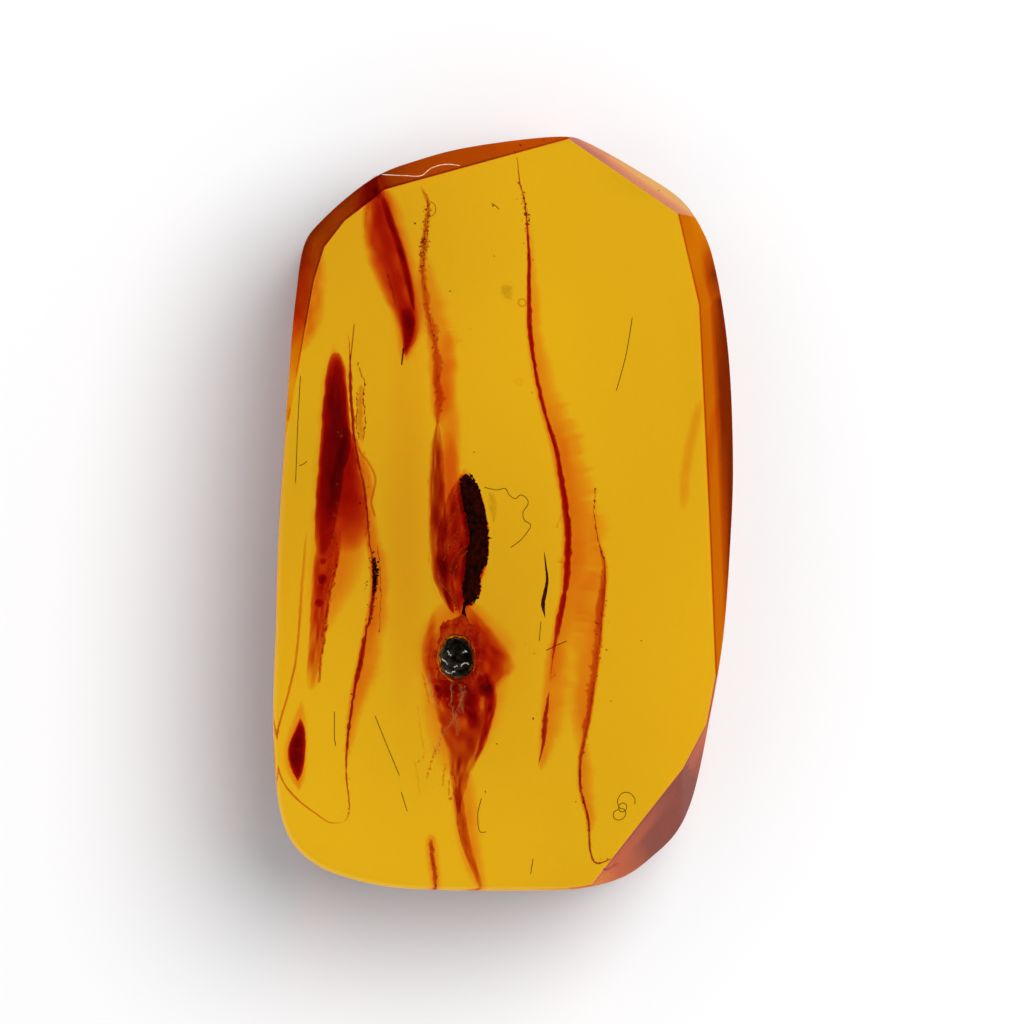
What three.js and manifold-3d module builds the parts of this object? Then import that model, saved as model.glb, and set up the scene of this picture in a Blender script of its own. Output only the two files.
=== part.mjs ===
// A hand-polished slab of amber, lying on its lapped back.
// Millimetres, +Z up, +Y along the slab. The origin is in the resting face, under the middle of the slab.
import * as THREE from "three";
import { mergeVertices } from "three/addons/utils/BufferGeometryUtils.js";
import Module from "manifold-3d";

// Driving dimensions.
const LENGTH = 30; // along Y
const WIDTH = 18.4; // along X
const THICKNESS = 8; // resting face to polished window
const WAIST_HEIGHT = 4; // height of the widest outline above the resting face
const SHOULDER_HEIGHT = 7.85; // where the wall turns over into the shoulder
const SHOULDER_RUN = 0.15; // how far the shoulder is rounded in
const WALL_LEAN = 0.06; // how far the wall leans in from the waist to the shoulder and to the back's edge
const BACK_RADIUS = 0.1; // the rounding between the wall and the resting face
const BACK_SWEEP = 76; // degrees of that rounding that are left above the resting face

// The waist is the widest outline. It runs clockwise from the corner at top left,
// in millimetres from the middle of the slab.
const WAIST = [
  [-5.1, 13.5],
  [-3.3, 14.2],
  [-1.3, 14.7],
  [2.7, 15.1],
  [3.3, 14.9],
  [5.3, 13.8],
  [7.2, 12.5],
  [8.1, 11.1],
  [8.5, 9.8],
  [9, 6.6],
  [9.2, 2],
  [9.1, -1],
  [8.8, -5],
  [8.3, -8],
  [7.5, -11.5],
  [6.9, -12.7],
  [6, -13.6],
  [4.9, -14.4],
  [3.2, -14.9],
  [1, -15],
  [-4.1, -14.9],
  [-5.8, -14.6],
  [-7.4, -14],
  [-8.4, -13.1],
  [-8.9, -11.9],
  [-9.2, -8.8],
  [-9.1, -4.4],
  [-9, -0.9],
  [-8.6, 5.1],
  [-8.3, 8.6],
  [-7.9, 10.9],
  [-7.3, 11.7],
];
const OUTLINE_STEPS = 160; // around the slab
const SHOULDER_STEPS = 3; // round the shoulder
const WALL_STEPS = 2; // from the waist to the shoulder, and from the back's edge to the waist
const BACK_STEPS = 3; // round the back's edge

// The polished bevels. Each is a plane that leaves the window along the line between two points,
// given as shares of half the width and half the length, and falls away outwards by its slope in degrees.
const BEVELS = [
  // The left shoulder and the top left corner, in two facets each.
  { from: [-0.85, 0.5], to: [-0.815, 0.62], slope: 42 },
  { from: [-0.815, 0.62], to: [-0.77, 0.71], slope: 42 },
  { from: [-0.77, 0.71], to: [-0.683, 0.779], slope: 42 },
  { from: [-0.683, 0.779], to: [-0.53, 0.852], slope: 42 },
  // The top and the steep top right.
  { from: [-0.51, 0.862], to: [0.19, 0.98], slope: 42 },
  { from: [0.324, 0.98], to: [0.752, 0.8], slope: 64 },
  // The long right side, in three facets.
  { from: [0.757, 0.79], to: [0.839, 0.573], slope: 42 },
  { from: [0.845, 0.56], to: [0.886, 0.04], slope: 42 },
  { from: [0.886, 0.04], to: [0.915, -0.4], slope: 42 },
  // The bottom right corner: a steeper outer facet and the inner one.
  { from: [0.87, -0.563], to: [0.635, -0.837], slope: 56 },
  { from: [0.74, -0.7], to: [0.4, -0.965], slope: 48 },
];

// The pit in the window: a shaft that opens a little at its mouth.
const PIT = [-0.2, -0.379]; // place, as shares of half the width and half the length
const PIT_STRETCH = 1.25; // the pit is this much longer along the slab than across it
const PIT_MOUTH_RADIUS = 0.75;
const PIT_SHAFT_RADIUS = 0.7;
const PIT_FLARE_DEPTH = 0.4; // how far down the mouth flares
const PIT_WAIST_DEPTH = 1.2;
const PIT_DEPTH = 1.9;
const PIT_FLOOR_RADIUS = 0.45;
const PIT_SIDES = 20;

// Each cutting block is this much longer than the slab, so that it takes off all that it should.
const CUTTER_SIZE = 2 * LENGTH;

// A point of the plan, from shares of half the width and half the length.
function inPlan([across, along]) {
  return new THREE.Vector2((across * WIDTH) / 2, (along * LENGTH) / 2);
}

// The waist as a closed ring of points, fitted exactly to the slab's width and length.
function waistRing() {
  const stations = WAIST.map(([x, y]) => new THREE.Vector3(x, y, 0));
  const curve = new THREE.CatmullRomCurve3(stations, true, "centripetal");
  const ring = curve.getSpacedPoints(OUTLINE_STEPS).slice(0, -1);
  const box = new THREE.Box3().setFromPoints(ring);
  const middle = box.getCenter(new THREE.Vector3());
  const size = box.getSize(new THREE.Vector3());
  const fit = new THREE.Vector3(WIDTH / size.x, LENGTH / size.y, 1);
  return ring.map((p) => p.sub(middle).multiply(fit));
}

// The unit direction that leads from each point of a clockwise ring straight into the slab.
function inwardDirections(ring) {
  const count = ring.length;
  return ring.map((p, i) => {
    const next = ring[(i + 1) % count];
    const before = ring[(i + count - 1) % count];
    return new THREE.Vector2(next.y - before.y, before.x - next.x).normalize();
  });
}

// The slab's profile from the back's edge to the window's: heights, and how far each lies in from the waist.
function profile() {
  const sweep = THREE.MathUtils.degToRad(BACK_SWEEP);
  const foot = BACK_RADIUS * Math.sin(sweep); // where the rounding of the back meets the wall
  const wallInset = (z, end) => WALL_LEAN * ((z - WAIST_HEIGHT) / (end - WAIST_HEIGHT)) ** 2;
  const steps = [];
  for (let step = BACK_STEPS; step > 0; step--) {
    const angle = (sweep * step) / BACK_STEPS;
    const z = foot - BACK_RADIUS * Math.sin(angle);
    steps.push({ z, inset: WALL_LEAN + BACK_RADIUS * (1 - Math.cos(angle)) });
  }
  for (let step = 0; step < WALL_STEPS; step++) {
    const z = foot + ((WAIST_HEIGHT - foot) * step) / WALL_STEPS;
    steps.push({ z, inset: wallInset(z, foot) });
  }
  for (let step = 0; step < WALL_STEPS; step++) {
    const z = WAIST_HEIGHT + ((SHOULDER_HEIGHT - WAIST_HEIGHT) * step) / WALL_STEPS;
    steps.push({ z, inset: wallInset(z, SHOULDER_HEIGHT) });
  }
  for (let step = 0; step <= SHOULDER_STEPS; step++) {
    const angle = (Math.PI / 2) * (step / SHOULDER_STEPS);
    const z = SHOULDER_HEIGHT + (THICKNESS - SHOULDER_HEIGHT) * Math.sin(angle);
    steps.push({ z, inset: WALL_LEAN + SHOULDER_RUN * (1 - Math.cos(angle)) });
  }
  return steps;
}

// The slab before its bevels: the waist's outline, drawn in at each height of the profile.
function uncutSlab() {
  const waist = waistRing();
  const inward = inwardDirections(waist);
  const rings = profile();
  const count = waist.length;
  const positions = [];
  for (const { z, inset } of rings)
    waist.forEach((p, i) => positions.push(p.x + inward[i].x * inset, p.y + inward[i].y * inset, z));
  const faces = [];
  for (let r = 0; r + 1 < rings.length; r++)
    for (let i = 0; i < count; i++) {
      const j = (i + 1) % count;
      const [a, b, c, d] = [r * count + i, r * count + j, (r + 1) * count + j, (r + 1) * count + i];
      faces.push(a, c, b, a, d, c);
    }

  // The two flat faces are fans around a point under and over the middle.
  const backMiddle = positions.length / 3;
  const windowMiddle = backMiddle + 1;
  positions.push(0, 0, 0, 0, 0, THICKNESS);
  const last = (rings.length - 1) * count;
  for (let i = 0; i < count; i++) {
    const j = (i + 1) % count;
    faces.push(i, j, backMiddle, last + j, last + i, windowMiddle);
  }
  const geometry = new THREE.BufferGeometry();
  geometry.setAttribute("position", new THREE.Float32BufferAttribute(positions, 3));
  geometry.setIndex(faces);
  return geometry;
}

const wasm = await Module();
wasm.setup();

// A closed geometry as a solid that can be cut.
function solidFrom(geometry) {
  const bare = geometry.clone();
  bare.deleteAttribute("normal");
  bare.deleteAttribute("uv");
  const merged = mergeVertices(bare, 1e-4);
  const mesh = new wasm.Mesh({
    numProp: 3,
    vertProperties: new Float32Array(merged.attributes.position.array),
    triVerts: new Uint32Array(merged.index.array),
  });
  return new wasm.Manifold(mesh);
}

// A cut solid as a geometry with flat-shaded faces.
function geometryFrom(solid) {
  const mesh = solid.getMesh();
  const geometry = new THREE.BufferGeometry();
  geometry.setAttribute("position", new THREE.BufferAttribute(mesh.vertProperties, 3));
  geometry.setIndex(new THREE.BufferAttribute(mesh.triVerts, 1));
  const flat = geometry.toNonIndexed();
  flat.computeVertexNormals();
  return flat;
}

// A block whose lower face is a bevel's plane: it takes off everything outside that plane.
function bevelCutter({ from, to, slope }) {
  const start = inPlan(from);
  const run = inPlan(to).sub(start).normalize();
  const tilt = THREE.MathUtils.degToRad(slope);
  const normal = new THREE.Vector3(-run.y * Math.sin(tilt), run.x * Math.sin(tilt), Math.cos(tilt));
  const block = new THREE.BoxGeometry(CUTTER_SIZE, CUTTER_SIZE, CUTTER_SIZE);
  block.translate(0, 0, CUTTER_SIZE / 2);
  block.applyQuaternion(new THREE.Quaternion().setFromUnitVectors(new THREE.Vector3(0, 0, 1), normal));
  return block.translate(start.x, start.y, THICKNESS);
}

// The pit, as the solid that is taken out of the window.
function pitCutter() {
  const above = 1;
  const profile = [
    [0, -PIT_DEPTH],
    [PIT_FLOOR_RADIUS, -PIT_DEPTH],
    [PIT_SHAFT_RADIUS, -PIT_WAIST_DEPTH],
    [PIT_SHAFT_RADIUS, -PIT_FLARE_DEPTH],
    [PIT_MOUTH_RADIUS, 0],
    [PIT_MOUTH_RADIUS, above],
    [0, above],
  ].map(([radius, z]) => new THREE.Vector2(radius, z));
  const place = inPlan(PIT);
  const upright = new THREE.LatheGeometry(profile, PIT_SIDES).rotateX(Math.PI / 2);
  upright.scale(1, PIT_STRETCH, 1);
  return upright.translate(place.x, place.y, THICKNESS);
}

function amber() {
  let solid = solidFrom(uncutSlab());
  for (const bevel of BEVELS) solid = solid.subtract(solidFrom(bevelCutter(bevel)));
  solid = solid.subtract(solidFrom(pitCutter()));
  const material = new THREE.MeshStandardMaterial({ color: 0xd99a14, roughness: 0.06, metalness: 0 });
  const mesh = new THREE.Mesh(geometryFrom(solid), material);
  mesh.name = "amber";
  return mesh;
}

const insectInAmber = new THREE.Group();
insectInAmber.add(amber());

export default insectInAmber;
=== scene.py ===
import bisect
import math
import random

import bmesh
import bpy
from mathutils import Matrix, Vector, noise


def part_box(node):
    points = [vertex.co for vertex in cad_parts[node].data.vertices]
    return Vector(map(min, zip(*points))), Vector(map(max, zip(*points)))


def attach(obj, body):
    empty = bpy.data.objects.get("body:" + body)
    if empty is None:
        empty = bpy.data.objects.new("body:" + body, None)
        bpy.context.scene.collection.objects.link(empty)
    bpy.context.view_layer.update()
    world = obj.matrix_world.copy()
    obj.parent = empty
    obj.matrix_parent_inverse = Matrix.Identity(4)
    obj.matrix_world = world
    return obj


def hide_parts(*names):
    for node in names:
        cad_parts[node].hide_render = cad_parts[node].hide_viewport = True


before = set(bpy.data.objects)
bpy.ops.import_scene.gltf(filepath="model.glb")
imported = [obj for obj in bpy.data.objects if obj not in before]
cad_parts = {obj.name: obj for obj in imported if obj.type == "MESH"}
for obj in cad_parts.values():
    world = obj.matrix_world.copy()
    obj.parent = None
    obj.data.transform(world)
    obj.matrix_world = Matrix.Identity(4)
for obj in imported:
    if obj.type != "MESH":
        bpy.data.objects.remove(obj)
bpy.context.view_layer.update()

# The slab's driving sizes, from the frame. Lengths are in metres, and MM turns millimetres into them.
MM = 0.001
LOW, HIGH = (Vector(corner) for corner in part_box("amber"))
HALF_WIDTH = (HIGH.x - LOW.x) / 2
HALF_LENGTH = (HIGH.y - LOW.y) / 2
WINDOW = HIGH.z  # height of the polished window
WAIST_HEIGHT = 4.0 * MM  # height of the widest outline
SHOULDER_HEIGHT = 7.85 * MM  # where the wall turns over, round a small radius, into the window
SHOULDER_RUN = 0.15 * MM
WALL_LEAN = 0.06 * MM  # how far the wall leans in from the waist to the shoulder and to the back's edge
BACK_RADIUS = 0.1 * MM  # the rounding between the wall and the resting face
BACK_SWEEP = math.radians(76)  # how much of that rounding is left above the resting face
WELD = 1e-8  # points closer than this are one

# The waist, clockwise from the corner at top left: millimetres from the slab's middle, and how much
# of the red rind is left by the window and lower down.
WAIST = [
    (-5.1, 13.5, 0.95, 1), (-3.3, 14.2, 0.82, 0.85), (-1.3, 14.7, 0.8, 0.8),
    (2.7, 15.1, 0.7, 0.5), (3.3, 14.9, 0.8, 0.4), (5.3, 13.8, 0.55, 0.2),
    (7.2, 12.5, 0.55, 0.2), (8.1, 11.1, 0.45, 0.5), (8.5, 9.8, 0.55, 1),
    (9, 6.6, 0.56, 1), (9.2, 2, 0.56, 1), (9.1, -1, 0.55, 1),
    (8.8, -5, 0.52, 0.9), (8.3, -8, 0.6, 0.85), (7.5, -11.5, 1, 1),
    (6.9, -12.7, 0.95, 1), (6, -13.6, 0.85, 1), (4.9, -14.4, 0.75, 0.75),
    (3.2, -14.9, 0.35, 0.5), (1, -15, 0.03, 0.35), (-4.1, -14.9, 0, 0.3),
    (-5.8, -14.6, 0, 0.3), (-7.4, -14, 0, 0.22), (-8.4, -13.1, 0, 0.17),
    (-8.9, -11.9, 0, 0.12), (-9.2, -8.8, 0, 0.1), (-9.1, -4.4, 0, 0.1),
    (-9, -0.9, 0, 0.1), (-8.6, 5.1, 0.2, 0.3), (-8.3, 8.6, 0.8, 0.9),
    (-7.9, 10.9, 0.9, 1), (-7.3, 11.7, 0.95, 1),
]

# The polished bevels: the window's edge from one point to another, as shares of half the width and half
# the length, and the slope in degrees.
BEVELS = [
    ((-0.85, 0.5), (-0.815, 0.62), 42),  # left shoulder, in two
    ((-0.815, 0.62), (-0.77, 0.71), 42),
    ((-0.77, 0.71), (-0.683, 0.779), 42),  # top left, in two
    ((-0.683, 0.779), (-0.53, 0.852), 42),
    ((-0.51, 0.862), (0.19, 0.98), 42),  # top
    ((0.324, 0.98), (0.752, 0.8), 64),  # top right
    ((0.757, 0.79), (0.839, 0.573), 42),  # right shoulder
    ((0.845, 0.56), (0.886, 0.04), 42),  # upper right
    ((0.886, 0.04), (0.915, -0.4), 42),  # lower right
    ((0.87, -0.563), (0.635, -0.837), 56),  # outer corner
    ((0.74, -0.7), (0.4, -0.965), 48),  # inner corner
]

PIT = (-0.2, -0.379)  # place, as shares of half the width and half the length
PIT_MOUTH_RADIUS = 0.75 * MM
PIT_STRETCH = 1.25  # the pit is this much longer along the slab

# What is sealed is placed in millimetres from the middle of a slab of this half width and half length.
DRAWN_HALF_WIDTH = 9.2
DRAWN_HALF_LENGTH = 15.0
ROUTE_STEPS = 24  # straight runs between two points of a route
SECTION_POINTS = 24  # round a streak or patch
THREAD_POINTS = 6  # round a thread
RING_POINTS = 32  # round a ring
TUBE_POINTS = 10  # round the tube that a ring is made of


def at(across, along, depth=0.0):
    """A point by shares of half the width and half the length, and millimetres under the window."""
    return Vector((across * HALF_WIDTH, along * HALF_LENGTH, WINDOW - depth * MM))


def inside(across, along, depth=0.0):
    """A point by millimetres from the slab's middle and under the window. It stretches with the slab."""
    return at(across / DRAWN_HALF_WIDTH, along / DRAWN_HALF_LENGTH, depth)


def pit_rim(heading):
    """The way from the pit's middle to its rim, which is longer along the slab than across it."""
    return Vector((math.cos(heading), PIT_STRETCH * math.sin(heading), 0))


def smooth_span(p0, p1, p2, p3, share):
    """A point between p1 and p2 on the centripetal curve through four points."""
    knots = [0.0]
    for near, far in ((p0, p1), (p1, p2), (p2, p3)):
        knots.append(knots[-1] + max((far - near).length, 1e-7) ** 0.5)
    t0, t1, t2, t3 = knots
    t = t1 + (t2 - t1) * share
    a1 = p0.lerp(p1, (t - t0) / (t1 - t0))
    a2 = p1.lerp(p2, (t - t1) / (t2 - t1))
    a3 = p2.lerp(p3, (t - t2) / (t3 - t2))
    b1 = a1.lerp(a2, (t - t0) / (t2 - t0))
    b2 = a2.lerp(a3, (t - t1) / (t3 - t1))
    return b1.lerp(b2, share)


def spline(points, count, closed=False):
    """Evenly spaced points along a smooth curve through the given vectors."""
    if closed:
        chain = [points[-1], *points, points[0], points[1]]
    else:
        chain = [2 * points[0] - points[1], *points, 2 * points[-1] - points[-2]]
    fine = []
    for four in zip(chain, chain[1:], chain[2:], chain[3:]):
        fine += [smooth_span(*four, step / ROUTE_STEPS) for step in range(ROUTE_STEPS)]
    fine.append(chain[-2])
    travelled = [0.0]
    for near, far in zip(fine, fine[1:]):
        travelled.append(travelled[-1] + (far - near).length)
    gaps = count if closed else count - 1
    out = []
    leg = 0
    for k in range(count):
        goal = travelled[-1] * k / gaps
        while leg < len(fine) - 2 and travelled[leg + 1] < goal:
            leg += 1
        stretch = max(travelled[leg + 1] - travelled[leg], 1e-12)
        out.append(fine[leg].lerp(fine[leg + 1], (goal - travelled[leg]) / stretch))
    return out


def graded(values, share):
    """The value at a share of the way through a list, or the one value given."""
    if isinstance(values, (int, float)):
        return values
    place = share * (len(values) - 1)
    i = min(int(place), len(values) - 2)
    return values[i] + (values[i + 1] - values[i]) * (place - i)


def new_piece(name, bm, material):
    """Turns a finished bmesh into a piece of the slab."""
    bmesh.ops.recalc_face_normals(bm, faces=bm.faces)
    if bm.calc_volume(signed=True) < 0:
        bmesh.ops.reverse_faces(bm, faces=bm.faces)
    mesh = bpy.data.meshes.new(name)
    bm.to_mesh(mesh)
    bm.free()
    mesh.shade_smooth()
    mesh.materials.append(material)
    piece = bpy.data.objects.new(name, mesh)
    bpy.context.scene.collection.objects.link(piece)
    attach(piece, "root")
    return piece


def bent_grid(columns, rows, place):
    """A grid whose point (column, row) is moved to place(column, row), with meeting edges welded."""
    bm = bmesh.new()
    bmesh.ops.create_grid(bm, x_segments=columns, y_segments=rows, size=1.0)
    for vert in bm.verts:
        column = round((vert.co.x + 1) / 2 * columns)
        row = round((vert.co.y + 1) / 2 * rows)
        vert.co = place(column, row)
    bmesh.ops.remove_doubles(bm, verts=bm.verts, dist=WELD)
    bmesh.ops.dissolve_degenerate(bm, edges=bm.edges, dist=WELD)
    return bm


# ---- materials ----

def principled(name, **values):
    """A material with one Principled shader, whose named sockets take plain values."""
    material = bpy.data.materials.new(name)
    material.use_nodes = True
    shader = material.node_tree.nodes["Principled BSDF"]
    for socket, value in values.items():
        shader.inputs[socket.replace("_", " ")].default_value = value
    return material, material.node_tree, shader


def absorb(tree, colour, density):
    """Fills a see-through material with a plain absorbing volume."""
    volume = tree.nodes.new("ShaderNodeVolumeAbsorption")
    volume.inputs["Color"].default_value = (*colour, 1)
    volume.inputs["Density"].default_value = density
    tree.links.new(volume.outputs["Volume"], tree.nodes["Material Output"].inputs["Volume"])


AMBER_ABSORPTION = (0.994, 0.902, 0.014)
AMBER_DENSITY = 500
# The tint of the skin by how much red rind is left on it. With none, it is clear.
RIND_TINTS = ((0.35, (0.85, 0.22, 0.01)), (0.7, (0.45, 0.03, 0.004)), (1, (0.08, 0.002, 0.001)))
DRIFT_RANGE = (0.35, 0.65)  # the grain's values at which a drifting colour is all dark and all light
GRAIN_DETAIL = 6
RELIEF_STRENGTH = 0.6
RELIEF_DEPTH = 0.05 * MM


def amber_material():
    """Clear amber that deepens with its thickness, with a tint where red rind is left."""
    material, tree, shader = principled(
        "amber", Base_Color=(1, 1, 1, 1), Roughness=0.02, IOR=1.54, Transmission_Weight=1.0)
    absorb(tree, AMBER_ABSORPTION, AMBER_DENSITY)
    rind = tree.nodes.new("ShaderNodeAttribute")
    rind.attribute_name = "rind"
    tint = tree.nodes.new("ShaderNodeValToRGB")
    ramp = tint.color_ramp
    ramp.elements[0].color = (1, 1, 1, 1)
    ramp.elements[1].color = (*RIND_TINTS[-1][1], 1)
    for amount, colour in RIND_TINTS[:-1]:
        ramp.elements.new(amount).color = (*colour, 1)
    tree.links.new(rind.outputs["Fac"], tint.inputs["Fac"])
    tree.links.new(tint.outputs["Color"], shader.inputs["Base Color"])
    return material


def resin_material(name, colour, density):
    """Stained resin of the slab's own density: it bends no light and only colours it."""
    material, tree, _ = principled(
        name, Base_Color=(1, 1, 1, 1), Roughness=0.0, IOR=1.0, Transmission_Weight=1.0)
    absorb(tree, colour, density)
    return material


def drift_group():
    """Grain that drifts between two colours, with the grain itself for a relief."""
    group = bpy.data.node_groups.new("drift", "ShaderNodeTree")
    for name, kind in (("Vector", "Vector"), ("Scale", "Float"), ("Dark", "Color"), ("Light", "Color")):
        group.interface.new_socket(name, in_out="INPUT", socket_type="NodeSocket" + kind)
    for name, kind in (("Color", "Color"), ("Grain", "Float")):
        group.interface.new_socket(name, in_out="OUTPUT", socket_type="NodeSocket" + kind)
    given = group.nodes.new("NodeGroupInput")
    result = group.nodes.new("NodeGroupOutput")
    grain = group.nodes.new("ShaderNodeTexNoise")
    grain.inputs["Detail"].default_value = GRAIN_DETAIL
    spread = group.nodes.new("ShaderNodeMapRange")
    spread.inputs["From Min"].default_value, spread.inputs["From Max"].default_value = DRIFT_RANGE
    mix = group.nodes.new("ShaderNodeMix")
    mix.data_type = "RGBA"
    group.links.new(given.outputs["Vector"], grain.inputs["Vector"])
    group.links.new(given.outputs["Scale"], grain.inputs["Scale"])
    group.links.new(grain.outputs["Fac"], spread.inputs["Value"])
    group.links.new(spread.outputs["Result"], mix.inputs["Factor"])
    group.links.new(given.outputs["Dark"], mix.inputs["A"])
    group.links.new(given.outputs["Light"], mix.inputs["B"])
    group.links.new(mix.outputs["Result"], result.inputs["Color"])
    group.links.new(grain.outputs["Fac"], result.inputs["Grain"])
    return group


DRIFT = drift_group()


def add_drift(tree, shader, dark, light, scale):
    """Gives a material the drift group as its colour, with its own values."""
    place = tree.nodes.new("ShaderNodeTexCoord")
    drift = tree.nodes.new("ShaderNodeGroup")
    drift.node_tree = DRIFT
    drift.inputs["Scale"].default_value = scale
    drift.inputs["Dark"].default_value = (*dark, 1)
    drift.inputs["Light"].default_value = (*light, 1)
    tree.links.new(place.outputs["Object"], drift.inputs["Vector"])
    tree.links.new(drift.outputs["Color"], shader.inputs["Base Color"])
    return drift


def froth_material(name, dark, light, scale):
    """Frothy resin that lets light through and scatters it, drifting between two colours."""
    material, tree, shader = principled(name, Roughness=0.45, IOR=1.15, Transmission_Weight=1.0)
    add_drift(tree, shader, dark, light, scale)
    return material


def dull_material(name, dark, light, scale, roughness):
    """An opaque material that drifts between two colours, with a grainy relief."""
    material, tree, shader = principled(name, Roughness=roughness, Specular_IOR_Level=0.0)
    drift = add_drift(tree, shader, dark, light, scale)
    bump = tree.nodes.new("ShaderNodeBump")
    bump.inputs["Strength"].default_value = RELIEF_STRENGTH
    bump.inputs["Distance"].default_value = RELIEF_DEPTH
    tree.links.new(drift.outputs["Grain"], bump.inputs["Height"])
    tree.links.new(bump.outputs["Normal"], shader.inputs["Normal"])
    return material


FINISH = {
    "halo": resin_material("orange_halo", (0.9, 0.05, 0.0), 2400),
    "halo_thread": resin_material("orange_thread", (0.9, 0.3, 0.0), 12000),
    "thread": resin_material("brown_thread", (0.55, 0.05, 0.0), 30000),
    "umber": resin_material("umber_stain", (0.74, 0.06, 0.0), 6500),
    "pocket": resin_material("red_pocket", (0.81, 0.08, 0.0), 9000),
    "olive": resin_material("olive_flake", (0.6, 0.5, 0.2), 3500),
    "insect": dull_material("chitin", (0.01, 0.0015, 0.0), (0.09, 0.011, 0.003), 5000, 0.4),
    "rib": dull_material("chitin_rib", (0.35, 0.05, 0.01), (0.85, 0.2, 0.04), 9000, 0.5),
    "debris": dull_material("debris", (0.05, 0.012, 0.002), (0.2, 0.05, 0.01), 12000, 0.5),
    "shaft": dull_material("shaft", (0.003, 0.003, 0.002), (0.07, 0.055, 0.035), 4000, 0.4),
    "crust": froth_material("crust", (0.5, 0.06, 0.01), (1.0, 0.62, 0.4), 3000),
    "pale": dull_material("pale_crack", (0.75, 0.42, 0.25), (1.0, 0.85, 0.68), 9000, 0.7),
    # glint: painted highlights, a grey-white matte colour standing in for glints of light on broken surfaces
    "glint": dull_material("glint", (0.2, 0.19, 0.18), (0.75, 0.74, 0.72), 7000, 0.5),
    "dust": dull_material("dust_fibre", (0.16, 0.1, 0.01), (0.3, 0.2, 0.04), 9000, 0.8),
}


# ---- what is sealed in the slab ----

def stain(name, finish, path, left, right, thick, depth, tilt=0.0, grain=0.35, wobble=0.2, steps=200,
          soft=1.2):
    """A closed streak of stained resin along a path, widest at its spine and thin at its edges.

    left and right are its reach in millimetres to each side as it runs, and thick is its greatest thickness.
    """
    spine = spline([inside(*point) for point in path], steps + 1)
    seed = sum(ord(letter) for letter in name)

    def place(column, row):
        share = row / steps
        here = spine[row]
        ahead = spine[min(row + 1, steps)] - spine[max(row - 1, 0)]
        to_right = Vector((-ahead.y, ahead.x, 0)).normalized()
        close = math.sqrt(max(0.0, 1 - abs(2 * share - 1) ** 6))
        turn = 2 * math.pi * column / SECTION_POINTS
        reach = math.cos(turn)
        edge = 3 if reach > 0 else 7
        swing = noise.noise(Vector((share * 14, seed, edge))) + noise.noise(Vector((row * 0.4, seed, edge)))
        wave = 1 + wobble * swing
        offset = reach * graded(right if reach > 0 else left, share) * wave * close
        body = (1 - reach * reach) ** soft * graded(thick, share) * close
        streaks = 1 + grain * noise.noise(Vector((offset * 5, share * 9, seed)))
        height = math.copysign(body * streaks / 2, math.sin(turn)) if body > 1e-9 else 0.0
        drop = graded(depth, share) + tilt * reach / 2
        return here + to_right * offset * MM + Vector((0, 0, (height - drop) * MM))

    bm = bent_grid(SECTION_POINTS, steps, place)
    return new_piece(name, bm, FINISH[finish])


def fibre(name, finish, path, radius, steps=80):
    """A fine thread through points of (across, along, depth)."""
    line = spline([inside(*point) for point in path], steps + 1)

    def place(column, row):
        ahead = (line[min(row + 1, steps)] - line[max(row - 1, 0)]).normalized()
        side = Vector((-ahead.y, ahead.x, 0)).normalized()
        up = side.cross(ahead)
        turn = 2 * math.pi * column / THREAD_POINTS
        width = radius * MM * (0 if row in (0, steps) else 1)
        return line[row] + (side * math.cos(turn) + up * math.sin(turn)) * width

    return new_piece(name, bent_grid(THREAD_POINTS, steps, place), FINISH[finish])


def specks(name, finish, spots, seed=1):
    """Small crumbs, each from (across, along, depth, size in millimetres), joined in one mesh."""
    rng = random.Random(seed)
    bm = bmesh.new()
    for across, along, depth, size in spots:
        turn = Matrix.Rotation(rng.uniform(0, 6.28), 4, "Z") @ Matrix.Rotation(rng.uniform(0, 3), 4, "X")
        shape = Matrix.Diagonal((rng.uniform(0.5, 1), rng.uniform(0.35, 0.8), rng.uniform(0.3, 0.7), 1))
        frame_at = Matrix.Translation(inside(across, along, depth)) @ turn @ shape
        bmesh.ops.create_icosphere(bm, subdivisions=1, radius=size / 2 * MM, matrix=frame_at)
    return new_piece(name, bm, FINISH[finish])


def strewn(path, count, spread, depth, sizes, seed):
    """Places for crumbs strewn along a path."""
    rng = random.Random(seed)
    line = spline([inside(*point) for point in path], 60)
    out = []
    for _ in range(count):
        point = line[rng.randrange(60)]
        across = (point.x + rng.gauss(0, spread) * MM) / HALF_WIDTH * DRAWN_HALF_WIDTH
        along = (point.y + rng.gauss(0, 0.1) * MM) / HALF_LENGTH * DRAWN_HALF_LENGTH
        out.append((across, along, depth + rng.uniform(-0.1, 0.1), rng.uniform(*sizes)))
    return out


def deep(path, depth):
    """The same path laid at one depth in millimetres."""
    return [(across, along, depth) for across, along in path]


def patch(name, finish, left_edge, right_edge, thick, depth, soft=0.8, grain=0.35, steps=100):
    """A closed patch of stained resin between two edges that run the same way, thin at both edges."""
    left = spline([inside(*point) for point in left_edge], steps + 1)
    right = spline([inside(*point) for point in right_edge], steps + 1)
    seed = sum(ord(letter) for letter in name)

    def place(column, row):
        share = row / steps
        close = math.sqrt(max(0.0, 1 - abs(2 * share - 1) ** 8))
        turn = 2 * math.pi * column / SECTION_POINTS
        reach = math.cos(turn)
        ragged = 1 + 0.1 * noise.noise(Vector((share * 18, seed, 3 if reach > 0 else 7)))
        spot = left[row].lerp(right[row], 0.5 + 0.5 * reach * ragged * (0.25 + 0.75 * close))
        body = (1 - reach * reach) ** soft * graded(thick, share) * close
        streaks = 1 + grain * noise.noise(Vector((reach * 4, share * 7, seed)))
        height = math.copysign(body * streaks / 2, math.sin(turn)) if body > 1e-9 else 0.0
        return spot + Vector((0, 0, (height - depth) * MM))

    return new_piece(name, bent_grid(SECTION_POINTS, steps, place), FINISH[finish])


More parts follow.
